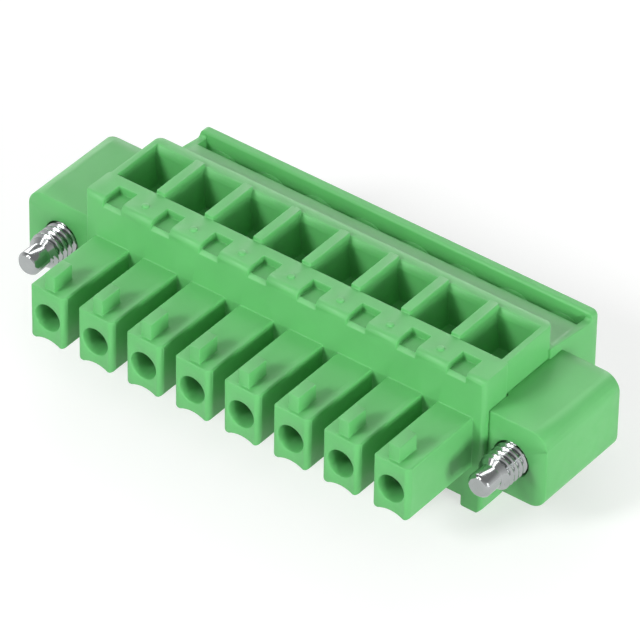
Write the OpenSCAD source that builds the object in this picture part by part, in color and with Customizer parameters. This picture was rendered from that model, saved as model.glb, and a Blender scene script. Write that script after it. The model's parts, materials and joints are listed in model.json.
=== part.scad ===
// Plug half of a pluggable terminal block, with wires entering from above,
// clamp screws turned from the rear and a screw flange at each end.
// X runs along the row of poles, the fingers point to -Y, and Z is up.
// The origin is below the middle of the part, at the feet. The row of poles
// stands a little to the right of the middle between the two flanges.

/* [Row of poles] */
// Number of poles
poles = 8; // [2:1:12]
// Distance from one pole to the next
pitch = 3.81; // [3.7:0.01:4.2]

/* [Body] */
// Height of the body's top above the feet
top_z = 10.4; // [10.2:0.1:11.4]
// Body that stands out past the end poles, at each end
end_margin = 0.26; // [0.2:0.02:0.5]
// Depth of the front block that carries the fingers
front_depth = 2.5; // [2.4:0.05:2.7]
// Depth from the mating face to the back of the wells
wells_depth = 7.3; // [7.2:0.05:7.4]
// Depth from the mating face to the back of the rear plate
body_depth = 11.85; // [11.6:0.05:12.4]
// Height of the two feet under the body
foot_height = 0.8; // [0.5:0.1:1.2]
// Width of each foot
foot_width = 1.55; // [1:0.05:2]

/* [Fingers] */
// Width of a finger
finger_width = 2.7; // [2.6:0.05:2.9]
// Length of a finger in front of the mating face
finger_length = 6.43; // [6:0.05:7]
// Height of a finger
finger_height = 4; // [3.9:0.05:4.2]
// Height of the fingers' holes above the feet
axis_z = 5.2; // [5.1:0.05:5.3]
// Radius of the hole for the header's pin
pin_hole_r = 0.97; // [0.8:0.01:1.05]

/* [Flanges] */
// Width of a flange, as the mean of the two
flange_width = 4.7; // [4.5:0.1:5.5]
// How far the row of poles stands to the right of the middle
row_shift = 0.3; // [0:0.05:0.4]
// Depth of a flange
flange_depth = 7.6; // [7:0.1:8]
// Radius of the flange screw's thread
flange_screw_r = 1.2; // [1.15:0.01:1.25]
// Length of screw in front of the flange
screw_reach = 3.45; // [3:0.05:4]

/* [Clamps] */
// Height of the clamp screws above the feet
clamp_z = 5.7; // [5.6:0.05:5.75]
// Radius of the clamp screw's thread
clamp_screw_r = 1; // [0.9:0.05:1]
// Radius of the clamp screw's head
clamp_head_r = 1.38; // [1.3:0.01:1.4]

/* [Hidden] */
$fn = 64;
eps = 0.01;
// How far a cutter runs past what it cuts
past = 1;
green = [0.36, 0.70, 0.38];
steel = "silver";
tin = "gainsboro";

// Main places. The mating face is set so that the origin is mid-depth.
mate_y = (finger_length - body_depth) / 2;
body_half = (poles * pitch) / 2 + end_margin;
wells_inset = 0.15;
wells_half = body_half - wells_inset;
rear_inset = 0.3;
edge_r = 0.45;
corner_r = 0.3;
rear_corner_r = 0.5;
foot_chamfer = 0.35;
foot_bevel = 0.1;

// Fingers
finger_top = axis_z + 2.05;
finger_bottom = finger_top - finger_height;
finger_edge_r = 0.3;
finger_top_r = 0.12;
finger_front_r = [0.2, 0.4];
arch_half = 0.95;
arch_rise = 0.25;
arch_r = (arch_half * arch_half + arch_rise * arch_rise) / (2 * arch_rise);
rib_width = 0.8;
rib_length = 1.75;
rib_height = 1.15;
rib_inset = 0.27;
rib_root = 0.2;

// Wells
divider = 0.69;
divider_rise = 0.25;
divider_root = 1;
well_y = [front_depth, 6.55];
well_foot_y = [2.7, 6.2];
well_foot_half = 1.25;
well_foot_z = 7.55;
well_lip = [0.22, 0.4];
well_rim = 0.6;

// Marking pockets and dots on the front block
pocket_half = 0.71;
pocket_y = [0.28, 1.64];
pocket_z = top_z - 0.55;
lip_z = top_z - 0.42;
lip_drop = 0.3;
dot_r = 0.24;
dot_y = 0.97;
dot_rise = 0.14;
dot_root = 1;

// Rear of the body
ledge_z = [top_z - 1.75, top_z - 2.25];
trench_y = [10.35, 11.25];
trench_floor = clamp_z + 0.1;
ledge_fillet = 0.25;
end_wall = 0.55;
plate_top = top_z - 1.7;
plate_r = 0.45;
plate_edge_r = [0.1, 0.2];
tube_r = 1.8;
tube_root = 0.2;

// Spaces inside, at each pole
cavity_half = 1;
cavity_z = [3.95, 6.45];
cavity_front = 1.55;
chamber_half = 1.6;
chamber_y = [2.35, 8.3];
chamber_z = [3.95, 7.15];
entry_half = 1.12;
entry_y = [2.98, 5.02];
head_seat_y = 9.15;
tube_bore_r = clamp_head_r + 0.07;
tube_bore_spare = 0.1;
driver_hole_r = clamp_head_r - 0.13;
thread_gap = 0.05;

// Contacts. The spring's bends are places along Y.
sheet = 0.3;
contact_half = 0.85;
contact_y = [-0.9, 1.6];
spring_y = [-2, -4.1, -4.7];
spring_pinch = 0.34;
spring_lean = 0.08;
spring_sheet = 0.22;
spring_gap = 0.15;
contact_headroom = 0.1;

// Clamp frames, drawn open
frame_half = 1.5;
frame_height = 2.6;
frame_y = [2.45, 6.55];
frame_wall = [0.5, 0.9];
frame_side = 0.4;
bar_y = [5, 5.5];
bar_half = 0.95;

// Clamp screws
screw_tip_y = bar_y[1] + 0.05;
screw_head = [head_seat_y + 0.05, head_seat_y + 1.35];
slot_width = 0.4;
slot_depth = 0.55;
slot_reach = 3;
tip_chamfer = 0.2;
head_chamfer = 0.12;

// Flanges and their screws
flange_front = 0.5;
flange_back = flange_front + flange_depth;
flange_z = [2.2, top_z - 2.46];
flange_outer = body_half + flange_width;
flange_edge_r = 1.2;
flange_screw_x = flange_outer - 2.64;
flange_screw_z = (flange_z[0] + flange_z[1]) / 2;
bore_gap = 0.08;
bore_entry = 1;
counterbore = 3.2;
flange_head_r = 1.75;
flange_head_length = 1.8;
flange_head_chamfer = 0.2;
head_seat_gap = 0.05;
flange_slot_width = 0.6;
flange_slot_depth = 0.9;
dog_length = 1.35;
dog_r = 0.83;
dog_chamfer = 0.15;
thread_lead = 0.35;
thread_end = flange_front - 0.45;
runout_r = flange_screw_r - 0.05;
runout_length = [0.6, 0.9];
neck_r = 0.95;
tongue_y = [1, 2];
tongue_z = [3.3, 6.7];
tongue_depth = 0.75;
tongue_gap = 0.03;
tongue_root = 0.1;

// Centre of pole i, from the middle of the row
function pole_x(i) = (i - (poles + 1) / 2) * pitch;

// A block between two corners given as [low, high] along each axis
module block(x, y, z) {
  translate([x[0], y[0], z[0]])
    cube([x[1] - x[0], y[1] - y[0], z[1] - z[0]]);
}

// A rectangle from [x, y] with the given size and corner radii,
// in the order low left, low right, top right, top left
module rounded_plate(corner, size, radii) {
  cx = [0, size[0], size[0], 0];
  cy = [0, 0, size[1], size[1]];
  translate(corner)
    difference() {
      square(size);
      for (k = [0 : 3])
        if (radii[k] > 0)
          translate([cx[k], cy[k]])
            mirror([cx[k] > 0 ? 1 : 0, 0])
              mirror([0, cy[k] > 0 ? 1 : 0])
                difference() {
                  translate([-eps, -eps])
                    square(radii[k] + eps);
                  translate([radii[k], radii[k]])
                    circle(radii[k]);
                }
    }
}

// Turns a shape drawn as (X, Z) into a solid that runs from y[0] to y[1]
module along_y(y) {
  translate([0, y[1], 0])
    rotate([90, 0, 0])
      linear_extrude(y[1] - y[0])
        children();
}

// Turns a shape drawn as (Y, Z) into a solid that runs from x[0] to x[1]
module along_x(x) {
  translate([x[0], 0, 0])
    rotate([90, 0, 90])
      linear_extrude(x[1] - x[0])
        children();
}

// A round bar along Y from y[0] to y[1] at height z
module bar_along_y(r, y, z) {
  translate([0, y[0], z])
    rotate([-90, 0, 0])
      cylinder(h = y[1] - y[0], r = r);
}

// One finger with its arched underside and its coding rib
module finger() {
  intersection() {
    along_y([-finger_length, eps])
      difference() {
        rounded_plate(
          [-finger_width / 2, finger_bottom], [finger_width, finger_height],
          [finger_edge_r, finger_edge_r, finger_top_r, finger_top_r]
        );
        translate([0, finger_bottom + arch_rise - arch_r])
          circle(arch_r, $fn = 128);
      }
    translate([0, 0, finger_bottom - past])
      linear_extrude(finger_height + 2 * past)
        rounded_plate(
          [-finger_width / 2, -finger_length], [finger_width, finger_length + past],
          [finger_front_r[0], finger_front_r[1], 0, 0]
        );
  }
  rib_y = -finger_length + rib_inset;
  block(
    [-rib_width / 2, rib_width / 2],
    [rib_y, rib_y + rib_length],
    [finger_top - rib_root, finger_top + rib_height]
  );
}

// The front block, with its rounded top front edge and upright edges
module front_block() {
  intersection() {
    along_x([-body_half, body_half])
      rounded_plate([0, 0], [front_depth, top_z], [0, 0, 0, edge_r]);
    linear_extrude(top_z)
      rounded_plate(
        [-body_half, 0], [2 * body_half, front_depth],
        [corner_r, corner_r, corner_r, corner_r]
      );
  }
}

// The block that holds the wells, with rounded rear side edges
module wells_block() {
  linear_extrude(top_z)
    rounded_plate(
      [-wells_half, front_depth - past],
      [2 * wells_half, wells_depth - front_depth + past],
      [0, 0, rear_corner_r, rear_corner_r]
    );
  for (i = [1 : poles - 1])
    block(
      [pole_x(i + 0.5) - divider / 2, pole_x(i + 0.5) + divider / 2],
      well_y,
      [top_z - divider_root, top_z + divider_rise]
    );
}

// Side outline of everything behind the wells, as (Y, Z), with a hollow
// rounding where the slope meets the rear plate
module rear_outline() {
  start = wells_depth - rear_corner_r;
  slope_end = trench_y[1] - ledge_fillet;
  plate_root = trench_y[1] + 0.1;
  rounded_plate(
    [trench_y[1], 0], [body_depth - trench_y[1], plate_top],
    [0, 0, plate_edge_r[0], plate_edge_r[1]]
  );
  polygon([
    [start, 0],
    [plate_root, 0],
    [plate_root, ledge_z[1]],
    [slope_end, ledge_z[1]],
    [wells_depth, ledge_z[0]],
    [start, ledge_z[0]]
  ]);
  translate([slope_end, ledge_z[1]])
    difference() {
      square(ledge_fillet + eps);
      translate([0, ledge_fillet])
        circle(ledge_fillet);
    }
}

// The rear of the body: sloping ledge, trench, screw tubes and rear plate.
// It stops a little short of the body's left end.
module rear_block() {
  ends = [-body_half + rear_inset, body_half];
  corner_y = [trench_y[1] - ledge_fillet - 0.1, body_depth + past];
  difference() {
    along_x(ends)
      rear_outline();
    block([ends[0] + end_wall, ends[1] - end_wall], trench_y, [trench_floor, top_z]);
    for (side = [0, 1])
      translate([ends[side], 0, plate_top - plate_r])
        mirror([1 - side, 0, 0])
          translate([-plate_r, 0, 0])
            difference() {
              block([0, past], corner_y, [0, past]);
              bar_along_y(plate_r, [corner_y[0] - past, corner_y[1] + past], 0);
            }
  }
  for (i = [1 : poles])
    translate([pole_x(i), 0, 0])
      bar_along_y(tube_r, [trench_y[0] - tube_root, trench_y[1] + tube_root], clamp_z);
}

// What is cut away below the body, which leaves a foot along each end
module between_feet() {
  inner = body_half - foot_width;
  inner_low = inner + foot_bevel + past;
  along_y([-past, body_depth + past])
    polygon([
      [-inner_low, -past], [-inner, foot_bevel], [-inner, foot_height],
      [inner, foot_height], [inner, foot_bevel], [inner_low, -past]
    ]);
  for (side = [0, 1])
    mirror([side, 0, 0])
      along_y([-past, body_depth + past])
        polygon([
          [body_half - foot_chamfer - past, -past],
          [body_half + past, foot_chamfer + past],
          [body_half + past, -past]
        ]);
}

// The funnel of one well: four flat walls that draw in towards the foot
module well() {
  half = pitch / 2 - divider / 2;
  above = top_z + past;
  rim = top_z - well_rim;
  intersection() {
    along_y(well_y)
      polygon([
        [-half, above], [-half, rim], [-well_foot_half, well_foot_z],
        [well_foot_half, well_foot_z], [half, rim], [half, above]
      ]);
    along_x([-half, half])
      polygon([
        [well_y[0], above], [well_y[0], rim], [well_foot_y[0], well_foot_z],
        [well_foot_y[1], well_foot_z], [well_y[1] - well_lip[0], top_z - well_lip[1]],
        [well_y[1], top_z], [well_y[1], above]
      ]);
  }
}

// Everything that is hollow at one pole
module pole_spaces() {
  well();
  block([-entry_half, entry_half], entry_y, [chamber_z[1] - eps, well_foot_z + eps]);
  block([-chamber_half, chamber_half], chamber_y, chamber_z);
  block(
    [-cavity_half, cavity_half],
    [-finger_length + cavity_front, chamber_y[0] + eps],
    cavity_z
  );
  bar_along_y(
    pin_hole_r, [-finger_length - past, -finger_length + cavity_front + eps], axis_z
  );
  bar_along_y(clamp_screw_r + thread_gap, [chamber_y[1] - eps, head_seat_y + eps], clamp_z);
  bar_along_y(tube_bore_r, [head_seat_y, screw_head[1] + tube_bore_spare], clamp_z);
  bar_along_y(driver_hole_r, [screw_head[1], body_depth + past], clamp_z);
}

// A marking pocket in the front block, open over a low front lip
module marking_pocket() {
  inner_y = pocket_y[0] + eps;
  block([-pocket_half, pocket_half], pocket_y, [pocket_z, top_z + past]);
  along_x([-pocket_half, pocket_half])
    polygon([
      [-past, lip_z - lip_drop], [0, lip_z - lip_drop], [inner_y, lip_z],
      [inner_y, top_z + past], [-past, top_z + past]
    ]);
}

// Grooves in the body's ends that take the flanges' tongues
module tongue_groove() {
  block(
    [body_half - tongue_depth - tongue_gap, body_half + past],
    [tongue_y[0] - tongue_gap, tongue_y[1] + tongue_gap],
    [tongue_z[0] - tongue_gap, tongue_z[1] + tongue_gap]
  );
}

module housing() {
  color(green)
    translate([row_shift, mate_y, 0]) {
      difference() {
        union() {
          front_block();
          wells_block();
          rear_block();
          for (i = [1 : poles])
            translate([pole_x(i), 0, 0])
              finger();
          for (i = [1 : poles - 1])
            translate([pole_x(i + 0.5), dot_y, top_z - dot_root])
              cylinder(h = dot_root + dot_rise, r = dot_r);
        }
        for (i = [1 : poles])
          translate([pole_x(i), 0, 0]) {
            pole_spaces();
            marking_pocket();
          }
        between_feet();
        for (side = [0, 1])
          mirror([side, 0, 0])
            tongue_groove();
      }
    }
}

// A flange as drawn at the +X end, from the body's end at x = inner outwards
module flange(inner) {
  difference() {
    union() {
      along_y([flange_front, flange_back])
        rounded_plate(
          [inner, flange_z[0]], [flange_outer - inner, flange_z[1] - flange_z[0]],
          [0, flange_edge_r, flange_edge_r, 0]
        );
      block([inner - tongue_depth, inner + tongue_root], tongue_y, tongue_z);
    }
    translate([flange_screw_x, 0, 0]) {
      bar_along_y(
        flange_screw_r + bore_gap, [-past, flange_front + bore_entry], flange_screw_z
      );
      bar_along_y(neck_r + bore_gap, [0, flange_back + past], flange_screw_z);
      bar_along_y(
        flange_head_r + bore_gap, [flange_back - counterbore, flange_back + past],
        flange_screw_z
      );
    }
  }
}

module flange_left() {
  color(green)
    translate([0, mate_y, 0])
      mirror([1, 0, 0])
        flange(body_half - row_shift);
}

module flange_right() {
  color(green)
    translate([0, mate_y, 0])
      flange(body_half + row_shift);
}

// A flange screw about its own axis: point, thread, neck and slotted head
module flange_screw() {
  tip = flange_front - screw_reach;
  shoulder = tip + dog_length;
  seat = flange_back - counterbore + head_seat_gap;
  head_end = seat + flange_head_length;
  difference() {
    translate([0, 0, flange_screw_z])
      rotate([-90, 0, 0])
        rotate_extrude()
          polygon([
            [0, tip],
            [dog_r - dog_chamfer, tip],
            [dog_r, tip + dog_chamfer],
            [dog_r, shoulder],
            [flange_screw_r, shoulder + thread_lead],
            [flange_screw_r, thread_end],
            [runout_r, thread_end],
            [runout_r, thread_end + runout_length[0]],
            [neck_r, thread_end + runout_length[1]],
            [neck_r, seat],
            [flange_head_r, seat],
            [flange_head_r, head_end - flange_head_chamfer],
            [flange_head_r - flange_head_chamfer, head_end],
            [0, head_end]
          ]);
    block(
      [-flange_slot_width / 2, flange_slot_width / 2],
      [head_end - flange_slot_depth, head_end + past],
      [flange_screw_z - slot_reach, flange_screw_z + slot_reach]
    );
  }
}

module flange_screw_left() {
  color(steel)
    translate([-flange_screw_x, mate_y, 0])
      flange_screw();
}

module flange_screw_right() {
  color(steel)
    translate([flange_screw_x, mate_y, 0])
      flange_screw();
}

// One spring leg of a contact, drawn as (X, Y) on the +X side
module spring_leg() {
  polygon([
    [contact_half, contact_y[0]],
    [contact_half - spring_lean, spring_y[0]],
    [spring_pinch + spring_sheet, spring_y[1]],
    [contact_half - spring_lean, spring_y[2]],
    [contact_half - spring_lean - spring_sheet, spring_y[2]],
    [spring_pinch, spring_y[1]],
    [contact_half - spring_lean - spring_sheet, spring_y[0]],
    [contact_half - sheet, contact_y[0]]
  ]);
}

// The folded contact of pole i: strip, current bar, side walls and spring legs
module contact(i) {
  floor_z = cavity_z[0];
  wall_top = cavity_z[1] - contact_headroom;
  spring_z = floor_z + sheet + spring_gap;
  color(tin)
    translate([row_shift + pole_x(i), mate_y, 0]) {
      block(
        [-contact_half, contact_half], [contact_y[0], bar_y[1]],
        [floor_z, floor_z + sheet]
      );
      block([-bar_half, bar_half], bar_y, [floor_z, clamp_z + frame_height / 2]);
      for (side = [0, 1])
        mirror([side, 0, 0]) {
          block(
            [contact_half - sheet, contact_half], [contact_y[0] - eps, contact_y[1]],
            [floor_z, wall_top]
          );
          translate([0, 0, spring_z])
            linear_extrude(wall_top - spring_z)
              spring_leg();
        }
    }
}

// The clamp frame of pole i: a square tube that the wire passes down through
module wire_clamp(i) {
  low = clamp_z - frame_height / 2;
  high = clamp_z + frame_height / 2;
  color(tin)
    translate([row_shift + pole_x(i), mate_y, 0])
      difference() {
        block([-frame_half, frame_half], frame_y, [low, high]);
        block(
          [-frame_half + frame_side, frame_half - frame_side],
          [frame_y[0] + frame_wall[0], frame_y[1] - frame_wall[1]],
          [low - past, high + past]
        );
        bar_along_y(
          clamp_screw_r + thread_gap,
          [frame_y[1] - frame_wall[1] - eps, frame_y[1] + past], clamp_z
        );
      }
}

// The clamp screw of pole i: thread, cylindrical head and slot
module clamp_screw(i) {
  color(steel)
    translate([row_shift + pole_x(i), mate_y, 0])
      difference() {
        translate([0, 0, clamp_z])
          rotate([-90, 0, 0])
            rotate_extrude()
              polygon([
                [0, screw_tip_y],
                [clamp_screw_r - tip_chamfer, screw_tip_y],
                [clamp_screw_r, screw_tip_y + tip_chamfer],
                [clamp_screw_r, screw_head[0]],
                [clamp_head_r, screw_head[0]],
                [clamp_head_r, screw_head[1] - head_chamfer],
                [clamp_head_r - head_chamfer, screw_head[1]],
                [0, screw_head[1]]
              ]);
        block(
          [-slot_width / 2, slot_width / 2],
          [screw_head[1] - slot_depth, screw_head[1] + past],
          [clamp_z - slot_reach, clamp_z + slot_reach]
        );
      }
}

housing();
flange_left();
flange_right();
flange_screw_left();
flange_screw_right();
for (i = [1 : poles]) {
  contact(i);
  wire_clamp(i);
  clamp_screw(i);
}
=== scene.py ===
"""A green pluggable terminal block on a pale floor, seen from the front right and above."""
import json
import math

import bmesh
import bpy
from mathutils import Matrix, Vector
from mathutils.bvhtree import BVHTree

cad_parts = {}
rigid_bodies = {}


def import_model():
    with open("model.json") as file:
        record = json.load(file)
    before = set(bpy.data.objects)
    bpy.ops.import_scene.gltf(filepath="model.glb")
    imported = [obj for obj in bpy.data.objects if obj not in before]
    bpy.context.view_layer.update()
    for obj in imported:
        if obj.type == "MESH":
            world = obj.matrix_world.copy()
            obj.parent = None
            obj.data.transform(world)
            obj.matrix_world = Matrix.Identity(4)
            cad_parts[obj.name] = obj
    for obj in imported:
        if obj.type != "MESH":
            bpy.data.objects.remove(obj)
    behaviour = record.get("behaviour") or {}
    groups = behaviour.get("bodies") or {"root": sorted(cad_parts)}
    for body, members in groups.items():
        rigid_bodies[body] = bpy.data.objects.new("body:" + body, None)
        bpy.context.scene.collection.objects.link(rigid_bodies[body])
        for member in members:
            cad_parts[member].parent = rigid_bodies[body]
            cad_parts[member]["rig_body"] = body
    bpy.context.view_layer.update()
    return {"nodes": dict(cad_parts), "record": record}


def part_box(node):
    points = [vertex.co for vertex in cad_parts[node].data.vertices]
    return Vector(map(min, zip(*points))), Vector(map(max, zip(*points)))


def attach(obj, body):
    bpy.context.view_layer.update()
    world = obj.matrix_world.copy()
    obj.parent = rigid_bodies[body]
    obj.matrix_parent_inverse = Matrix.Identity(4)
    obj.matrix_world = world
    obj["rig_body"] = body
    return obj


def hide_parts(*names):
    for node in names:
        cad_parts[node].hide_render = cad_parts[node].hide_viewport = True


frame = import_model()

# Lengths below are in millimetres and angles in degrees, unless a comment says otherwise.
MM = 0.001
NODES = frame["nodes"]

# Camera. AIM is the point that it looks at, and CLIP is in metres.
AZIMUTH = 36.73
ELEVATION = 38.37
ROLL = -1.02
DISTANCE = 400
AIM = (3.02, -2.33, 8.73)
FOCAL = 367
SENSOR = 36
CLIP = (0.02, 5)

# Plastic: the two colours of its faint mottle, and how deep light goes in
GREEN = ((0.117, 0.455, 0.138), (0.129, 0.490, 0.152))
PLASTIC_ROUGHNESS = (0.38, 0.48)
PLASTIC_IOR = 1.52
PLASTIC_GLOW = 0.12
PLASTIC_GLOW_DEPTH = 0.4
PLASTIC_GLOW_COLOUR = (0.4, 1.0, 0.4)
PLASTIC_GRAIN = 0.002

# Plated metals by material slot: colour, then least and most roughness
METALS = {
    "zinc_steel": ((0.42, 0.44, 0.44), (0.11, 0.18)),
    "tinned_brass": ((0.80, 0.79, 0.76), (0.22, 0.36)),
    "nickel_brass": ((0.72, 0.68, 0.60), (0.22, 0.36)),
}
METAL_CLOUD = 0.9
METAL_MARKS = 0.003

# The part of a noise's range that is spread over a whole ramp
NOISE_LOW = 0.3
NOISE_HIGH = 0.7

# Floor and surrounding. A strength of 1 is white. The sky is dimmest from SKY_TOP up, where 1 is
# straight overhead.
FLOOR_HALF_WIDTH = 1500
FLOOR_GREY = 0.5
FLOOR_ROUGHNESS = 0.9
FLOOR_SPECULAR = 0.1
FLOOR_SEEN = 0.58
SKY_TOP = 0.6
SKY_AT_HORIZON = 1
SKY_OVERHEAD = 0.34

# Lamps: name, azimuth, elevation, distance, width, watts as a light, watts in reflections
LAMPS = (
    ("key", -24, 34, 900, 240, 4.8, 3.4),
    ("side", 78, 10, 900, 300, 5.4, 3.2),
    ("back", -143, 38, 600, 400, 0.5, 5.6),
)
SHEEN_GROW = 1.8

# Width of the small rounding on moulded edges and on stamped or turned ones
MOULDED_EDGE = 0.06
METAL_EDGE = 0.04
EDGE_ANGLE = 32
JOIN_DISTANCE = 0.002

# Mating face: the flat front from which the fingers stand out
FINGER_LENGTH = 6.43
MATE_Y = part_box("housing")[0].y / MM + FINGER_LENGTH

# Flange screw: radii, and places along it from the mating face
SCREW_Z = 5.07
THREAD_R = 1.2
THREAD_ROOT_R = 0.96
THREAD_PITCH = 0.45
THREAD_FLAT = 0.14
TIP_Y = -2.95
POINT_R = 0.83
SHOULDER_Y = -1.6
SHOULDER_GAP = 0.05
LEAD = 0.35
THREAD_END_Y = 0.95
NECK_CONE = 0.25
NECK_R = 0.93
HEAD_Y = 4.6
NECK_IN_HEAD = 0.3
TURN_STEPS = 96
PITCH_STEPS = 12

# Chamfer of the screw's point: its size, its roundings' reach, and where they start and end
POINT_CHAMFER = 0.2
CHAMFER_BLEND = 0.03
CHAMFER_FOOT = (0.02, 0.04)
CHAMFER_TOP = 0.8

# Crown of a screw tube where it crosses the trench: radii, ends, and the fillet at the plate with
# the shares of its length at which it has a section
CROWN_R = 1.96
CROWN_INNER_R = 1.6
CROWN_HALF_ANGLE = 60
CROWN_Y = (10.2, 11.3)
CROWN_FILLET = 0.15
CROWN_STEPS = 24
FILLET_PLACES = (0, 0.3, 0.6, 0.8, 0.95)

# Lap of a flange that closes the step between it and the wells' side wall. A face belongs to it
# within LAP_SEARCH of the housing's side, and where its normal is at least LAP_FLATNESS sideways.
LAP_Y = (2.52, 7.28)
LAP_LOW_Z = 6.9
LAP_REACH = 0.14
LAP_SEARCH = 0.05
LAP_FLATNESS = 0.99


def link(name, data):
    """A new object with this data, in the scene."""
    obj = bpy.data.objects.new(name, data)
    bpy.context.scene.collection.objects.link(obj)
    return obj


def nodes_of(material):
    """The node tree of a material, emptied but for one shader."""
    material.use_nodes = True
    tree = material.node_tree
    tree.nodes.clear()
    out = tree.nodes.new("ShaderNodeOutputMaterial")
    shader = tree.nodes.new("ShaderNodeBsdfPrincipled")
    tree.links.new(shader.outputs[0], out.inputs["Surface"])
    return tree, shader


def noise(tree, scale, detail, stretch=(1, 1, 1)):
    """A noise whose features are about 1 / scale metres wide."""
    place = tree.nodes.new("ShaderNodeTexCoord")
    mapping = tree.nodes.new("ShaderNodeMapping")
    mapping.inputs["Scale"].default_value = stretch
    texture = tree.nodes.new("ShaderNodeTexNoise")
    texture.inputs["Scale"].default_value = scale
    texture.inputs["Detail"].default_value = detail
    tree.links.new(place.outputs["Object"], mapping.inputs["Vector"])
    tree.links.new(mapping.outputs[0], texture.inputs["Vector"])
    return texture.outputs["Fac"]


def ramp(tree, source, low, high):
    """Spreads a noise over the colours between low and high."""
    blend = tree.nodes.new("ShaderNodeValToRGB")
    blend.color_ramp.elements[0].position = NOISE_LOW
    blend.color_ramp.elements[1].position = NOISE_HIGH
    blend.color_ramp.elements[0].color = low
    blend.color_ramp.elements[1].color = high
    tree.links.new(source, blend.inputs[0])
    return blend.outputs[0]


def grey(value):
    """An opaque grey."""
    return (value, value, value, 1)


def bump(tree, shader, source, height, strength):
    """Gives a shader fine relief of this height from a noise."""
    node = tree.nodes.new("ShaderNodeBump")
    node.inputs["Strength"].default_value = strength
    node.inputs["Distance"].default_value = height * MM
    tree.links.new(source, node.inputs["Height"])
    tree.links.new(node.outputs[0], shader.inputs["Normal"])


def green_plastic():
    """Satin moulded plastic with a faint mottle, which lets a little light in."""
    material = bpy.data.materials.new("green_plastic")
    tree, shader = nodes_of(material)
    low, high = (colour + (1,) for colour in GREEN)
    tint = noise(tree, scale=260, detail=3)
    tree.links.new(ramp(tree, tint, low, high), shader.inputs["Base Color"])
    mottle = noise(tree, scale=1500, detail=4)
    low, high = (grey(value) for value in PLASTIC_ROUGHNESS)
    tree.links.new(ramp(tree, mottle, low, high), shader.inputs["Roughness"])
    shader.inputs["IOR"].default_value = PLASTIC_IOR
    shader.inputs["Subsurface Weight"].default_value = PLASTIC_GLOW
    shader.inputs["Subsurface Radius"].default_value = PLASTIC_GLOW_COLOUR
    shader.inputs["Subsurface Scale"].default_value = PLASTIC_GLOW_DEPTH * MM
    grain = noise(tree, scale=2600, detail=2)
    bump(tree, shader, grain, PLASTIC_GRAIN, strength=0.4)
    return material


def plated_metal(slot):
    """Bright plated metal with fine turning marks and a faint cloudiness."""
    colour, roughness = METALS[slot]
    material = bpy.data.materials.new(slot)
    tree, shader = nodes_of(material)
    shader.inputs["Metallic"].default_value = 1
    cloud = noise(tree, scale=900, detail=4)
    dark = tuple(part * METAL_CLOUD for part in colour) + (1,)
    tree.links.new(ramp(tree, cloud, dark, colour + (1,)), shader.inputs["Base Color"])
    marks = noise(tree, scale=4000, detail=3, stretch=(1, 4, 1))
    low, high = (grey(value) for value in roughness)
    tree.links.new(ramp(tree, marks, low, high), shader.inputs["Roughness"])
    bump(tree, shader, marks, METAL_MARKS, strength=0.5)
    return material


def paint(obj, material):
    """Gives an object one material."""
    obj.data.materials.clear()
    obj.data.materials.append(material)


def stand_for(piece, node, materials):
    """Makes a piece take the place of a CAD node, on the same body and in its material."""
    slot = next(s["material_slot"] for s in frame["record"]["subparts"] if s["node"] == node)
    paint(piece, materials[slot])
    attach(piece, NODES[node]["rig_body"])
    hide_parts(node)


def from_cad(node):
    """The mesh of a CAD node as a bmesh, with its split points joined."""
    bm = bmesh.new()
    bm.from_mesh(NODES[node].data)
    bmesh.ops.remove_doubles(bm, verts=bm.verts, dist=JOIN_DISTANCE * MM)
    return bm


def split(bm, place, direction, clear_outer=False):
    """Cuts a bmesh along a plane. With clear_outer, the side that direction points to goes."""
    return bmesh.ops.bisect_plane(
        bm, geom=list(bm.verts) + list(bm.edges) + list(bm.faces),
        plane_co=place, plane_no=direction, clear_outer=clear_outer
    )


def softened(bm, name, width):
    """A piece made from a CAD mesh, with a small rounding along its sharp edges."""
    for face in bm.faces:
        face.smooth = True
    plain = bpy.data.meshes.new("plain")
    bm.to_mesh(plain)
    draft = link("draft", plain)
    modifier = draft.modifiers.new("edges", "BEVEL")
    modifier.width = width * MM
    modifier.segments = 2
    modifier.limit_method = "ANGLE"
    modifier.angle_limit = math.radians(EDGE_ANGLE)
    modifier.use_clamp_overlap = False
    modifier.loop_slide = False
    modifier.harden_normals = True
    built = draft.evaluated_get(bpy.context.evaluated_depsgraph_get())
    mesh = bpy.data.meshes.new_from_object(built)
    bpy.data.objects.remove(draft)
    bpy.data.meshes.remove(plain)
    mesh.name = name

    # A point that the rounding threw off the surface goes back to it.
    surface = BVHTree.FromBMesh(bm)
    for vertex in mesh.vertices:
        near, _, _, distance = surface.find_nearest(vertex.co)
        if distance > width * MM:
            vertex.co = near
    bm.free()
    return link(name, mesh)


def built_piece(bm, name):
    """A piece made from a built mesh, smooth but for its sharp edges."""
    bmesh.ops.recalc_face_normals(bm, faces=bm.faces)
    for face in bm.faces:
        face.smooth = True
    for edge in bm.edges:
        edge.smooth = edge.calc_face_angle(0) < math.radians(EDGE_ANGLE)
    mesh = bpy.data.meshes.new(name)
    bm.to_mesh(mesh)
    bm.free()
    return link(name, mesh)


def point_around(x, z, y, radius, angle):
    """A point at a radius and angle, from straight up, about an axis along Y through x and z."""
    across = x + radius * math.sin(angle)
    up = z + radius * math.cos(angle)
    return (across * MM, (MATE_Y + y) * MM, up * MM)


def closed_skin(bm, rings):
    """Joins neighbouring rings of points with faces, and closes both ends."""
    count = len(rings[0])
    for a, b in zip(rings, rings[1:]):
        for k in range(count):
            m = (k + 1) % count
            bm.faces.new((a[k], b[k], b[m], a[m]))
    bm.faces.new(rings[0])
    bm.faces.new(list(reversed(rings[-1])))


def middle_of(node):
    """The middle of a node's box, across and up."""
    low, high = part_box(node)
    return (low.x + high.x) / 2 / MM, (low.z + high.z) / 2 / MM


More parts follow.
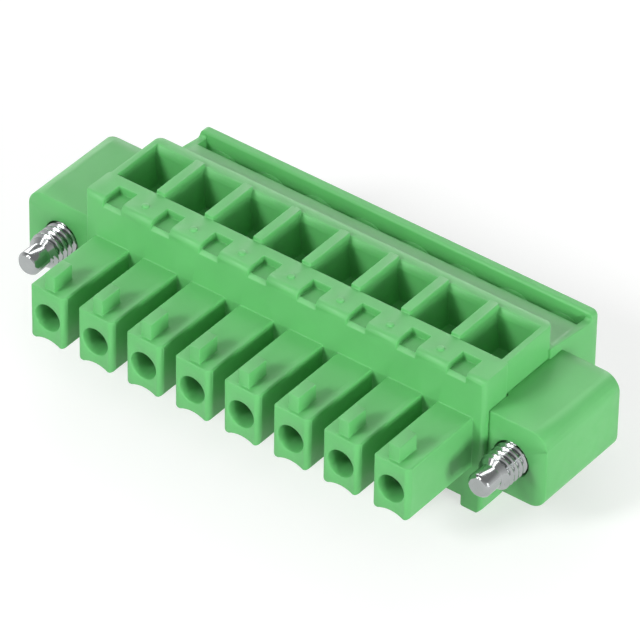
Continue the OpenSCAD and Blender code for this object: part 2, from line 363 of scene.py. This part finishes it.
def lapped_flange(node, name, way):
    """A flange with a lap towards the wells' wall. Way is 1 at the right and -1 at the left."""
    bm = from_cad(node)
    low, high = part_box("housing")
    inner_x = high.x if way > 0 else low.x
    front, back = ((MATE_Y + y) * MM for y in LAP_Y)
    split(bm, (0, front, 0), (0, 1, 0))
    split(bm, (0, back, 0), (0, 1, 0))
    split(bm, (0, 0, LAP_LOW_Z * MM), (0, 0, 1))
    bm.normal_update()
    inner = []
    for face in bm.faces:
        middle = face.calc_center_median()
        faces_body = face.normal.x * way < -LAP_FLATNESS and abs(middle.x - inner_x) < LAP_SEARCH * MM
        if faces_body and front < middle.y < back and middle.z > LAP_LOW_Z * MM:
            inner.append(face)
    grown = bmesh.ops.extrude_face_region(bm, geom=inner)
    moved = [g for g in grown["geom"] if isinstance(g, bmesh.types.BMVert)]
    bmesh.ops.translate(bm, verts=moved, vec=(-way * LAP_REACH * MM, 0, 0))
    bmesh.ops.delete(bm, geom=[f for f in inner if f.is_valid], context="FACES")
    return softened(bm, name, MOULDED_EDGE)


def tube_crown(node, name):
    """The upper part of the screw tube over one clamp screw, where it crosses the trench."""
    x, z = middle_of(node)
    half = math.radians(CROWN_HALF_ANGLE)
    angles = [half * (2 * k / CROWN_STEPS - 1) for k in range(CROWN_STEPS + 1)]
    sections = [(CROWN_Y[0], CROWN_R)]
    for t in FILLET_PLACES:
        y = CROWN_Y[1] - CROWN_FILLET * (1 - t)
        sections.append((y, CROWN_R + CROWN_FILLET * (1 - math.sqrt(1 - t * t))))
    bm = bmesh.new()
    rings = []
    for y, radius in sections:
        outer = [point_around(x, z, y, radius, a) for a in angles]
        inner = [point_around(x, z, y, CROWN_INNER_R, a) for a in reversed(angles)]
        rings.append([bm.verts.new(point) for point in outer + inner])
    closed_skin(bm, rings)
    return built_piece(bm, name)


def thread_radius(y, turn):
    """The screw's radius at y along it and at a turn, for a right-hand thread."""
    phase = (y / THREAD_PITCH - turn) % 1.0
    rise = abs(2 * phase - 1)
    rise = min(max((rise - THREAD_FLAT) / (1 - 2 * THREAD_FLAT), 0), 1)
    radius = THREAD_ROOT_R + (THREAD_R - THREAD_ROOT_R) * rise
    lead = POINT_R + (THREAD_R - POINT_R) * (y - SHOULDER_Y) / LEAD
    return min(radius, lead)


def screw_shank(node, name):
    """The flange screw up to its head: chamfered point, thread and neck."""
    x, _ = middle_of(node)
    face_r = POINT_R - POINT_CHAMFER
    foot_y, foot_rise = CHAMFER_FOOT
    rows = [
        (TIP_Y, face_r - CHAMFER_BLEND),
        (TIP_Y, face_r),
        (TIP_Y + foot_y, face_r + foot_rise),
        (TIP_Y + CHAMFER_TOP * POINT_CHAMFER, POINT_R - CHAMFER_BLEND),
        (TIP_Y + POINT_CHAMFER + CHAMFER_BLEND, POINT_R),
        (SHOULDER_Y - SHOULDER_GAP, POINT_R)
    ]
    step = THREAD_PITCH / PITCH_STEPS
    count = round((THREAD_END_Y - SHOULDER_Y) / step)
    rows += [(SHOULDER_Y + i * step, None) for i in range(count + 1)]
    rows += [(THREAD_END_Y + NECK_CONE, NECK_R), (HEAD_Y + NECK_IN_HEAD, NECK_R)]
    bm = bmesh.new()
    rings = []
    for y, radius in rows:
        ring = []
        for k in range(TURN_STEPS):
            turn = k / TURN_STEPS
            r = thread_radius(y, turn) if radius is None else radius
            ring.append(bm.verts.new(point_around(x, SCREW_Z, y, r, 2 * math.pi * turn)))
        rings.append(ring)
    closed_skin(bm, rings)
    return built_piece(bm, name)


def screw_head(node, name):
    """The slotted head of a flange screw, cut from its CAD node."""
    bm = from_cad(node)
    cut = split(bm, (0, (MATE_Y + HEAD_Y) * MM, 0), (0, -1, 0), clear_outer=True)
    rim = [g for g in cut["geom_cut"] if isinstance(g, bmesh.types.BMEdge)]
    bmesh.ops.contextual_create(bm, geom=rim)
    return softened(bm, name, METAL_EDGE)


def direction_to(azimuth, elevation):
    """The way from the object to something that looks at it. Azimuth 0 is in front of it."""
    az = math.radians(azimuth)
    el = math.radians(elevation)
    return Vector((math.sin(az) * math.cos(el), -math.cos(az) * math.cos(el), math.sin(el)))


def camera():
    """The camera, at the photograph's angle."""
    forward = -direction_to(AZIMUTH, ELEVATION)
    az = math.radians(AZIMUTH)
    right = Vector((math.cos(az), math.sin(az), 0))
    down = forward.cross(right)
    turn = math.radians(ROLL)
    x_axis = right * math.cos(turn) + down * math.sin(turn)
    y_axis = right * math.sin(turn) - down * math.cos(turn)
    data = bpy.data.cameras.new("camera")
    data.sensor_width = SENSOR
    data.lens = FOCAL
    data.clip_start, data.clip_end = CLIP
    obj = link("camera", data)
    place = Vector(AIM) * MM - forward * DISTANCE * MM
    rotation = Matrix((x_axis, y_axis, -forward)).transposed()
    obj.matrix_world = Matrix.Translation(place) @ rotation.to_4x4()
    bpy.context.scene.camera = obj


def softbox(name, azimuth, elevation, distance, width, watts, sheen_watts):
    """A pair of square area lights in one place, which look at the object.

    The first lights matt surfaces. The second is larger and dimmer and shows only in glossy ones.
    """
    way = direction_to(azimuth, elevation)
    for part, energy, grow in (("", watts, 1), ("_sheen", sheen_watts, SHEEN_GROW)):
        data = bpy.data.lights.new(name + part, "AREA")
        data.shape = "SQUARE"
        data.size = width * MM * grow
        data.energy = energy
        obj = link(name + part, data)
        obj.location = way * distance * MM
        obj.rotation_euler = way.to_track_quat("Z", "Y").to_euler()
        obj.visible_diffuse = part == ""
        obj.visible_glossy = part != ""


def seen_strength(tree, strength):
    """A strength for camera and mirrored rays, and none for the light on the object."""
    path = tree.nodes.new("ShaderNodeLightPath")
    either = path.outputs["Is Camera Ray"]
    for ray in ("Is Glossy Ray", "Is Transmission Ray"):
        larger = tree.nodes.new("ShaderNodeMath")
        larger.operation = "MAXIMUM"
        tree.links.new(either, larger.inputs[0])
        tree.links.new(path.outputs[ray], larger.inputs[1])
        either = larger.outputs[0]
    product = tree.nodes.new("ShaderNodeMath")
    product.operation = "MULTIPLY"
    product.inputs[1].default_value = strength
    tree.links.new(either, product.inputs[0])
    return product.outputs[0]


def pale_floor():
    """A pale floor that keeps the object's shadow."""
    mesh = bpy.data.meshes.new("floor")
    bm = bmesh.new()
    bmesh.ops.create_grid(bm, x_segments=1, y_segments=1, size=FLOOR_HALF_WIDTH * MM)
    bm.to_mesh(mesh)
    bm.free()
    floor = link("floor", mesh)
    material = bpy.data.materials.new("floor")
    tree, shader = nodes_of(material)
    shader.inputs["Base Color"].default_value = grey(FLOOR_GREY)
    shader.inputs["Roughness"].default_value = FLOOR_ROUGHNESS
    shader.inputs["Specular IOR Level"].default_value = FLOOR_SPECULAR
    shader.inputs["Emission Color"].default_value = grey(1)
    tree.links.new(seen_strength(tree, FLOOR_SEEN), shader.inputs["Emission Strength"])
    paint(floor, material)


def pale_surrounding():
    """A world that is white at the horizon and dimmer overhead."""
    world = bpy.data.worlds.new("studio")
    bpy.context.scene.world = world
    world.use_nodes = True
    tree = world.node_tree
    tree.nodes.clear()
    out = tree.nodes.new("ShaderNodeOutputWorld")
    ambient = tree.nodes.new("ShaderNodeBackground")
    ambient.inputs["Color"].default_value = grey(1)
    place = tree.nodes.new("ShaderNodeTexCoord")
    height = tree.nodes.new("ShaderNodeSeparateXYZ")
    fade = tree.nodes.new("ShaderNodeMapRange")
    fade.inputs["From Max"].default_value = SKY_TOP
    fade.inputs["To Min"].default_value = SKY_AT_HORIZON
    fade.inputs["To Max"].default_value = SKY_OVERHEAD
    tree.links.new(place.outputs["Generated"], height.inputs[0])
    tree.links.new(height.outputs["Z"], fade.inputs["Value"])
    tree.links.new(fade.outputs["Result"], ambient.inputs["Strength"])
    tree.links.new(ambient.outputs[0], out.inputs["Surface"])


def studio():
    """Floor, surrounding and soft lamps."""
    bpy.context.scene.view_settings.view_transform = "Standard"
    pale_floor()
    pale_surrounding()
    for lamp in LAMPS:
        softbox(*lamp)


def housing(materials):
    """The moulded body, with the crowns of its screw tubes."""
    piece = softened(from_cad("housing"), "moulded_housing", MOULDED_EDGE)
    stand_for(piece, "housing", materials)
    for node in sorted(n for n in NODES.keys() if n.startswith("clamp_screw_")):
        crown = tube_crown(node, node.replace("clamp_screw", "tube_crown"))
        paint(crown, materials["green_plastic"])
        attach(crown, NODES["housing"]["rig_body"])


def flanges(materials):
    """The two flanges and their screws."""
    for side, way in (("left", -1), ("right", 1)):
        flange = "flange_" + side
        screw = "flange_screw_" + side
        stand_for(lapped_flange(flange, "moulded_" + flange, way), flange, materials)
        stand_for(screw_shank(screw, "threaded_shank_" + side), screw, materials)
        stand_for(screw_head(screw, "slotted_head_" + side), screw, materials)


def small_metal_parts(materials):
    """The contacts, clamp frames and clamp screws."""
    made = {"contact_": "stamped_", "wire_clamp_": "plated_", "clamp_screw_": "turned_"}
    for node in sorted(NODES.keys()):
        for start, word in made.items():
            if node.startswith(start):
                stand_for(softened(from_cad(node), word + node, METAL_EDGE), node, materials)


materials = {"green_plastic": green_plastic()}
for slot in METALS:
    materials[slot] = plated_metal(slot)

camera()
studio()
housing(materials)
flanges(materials)
small_metal_parts(materials)
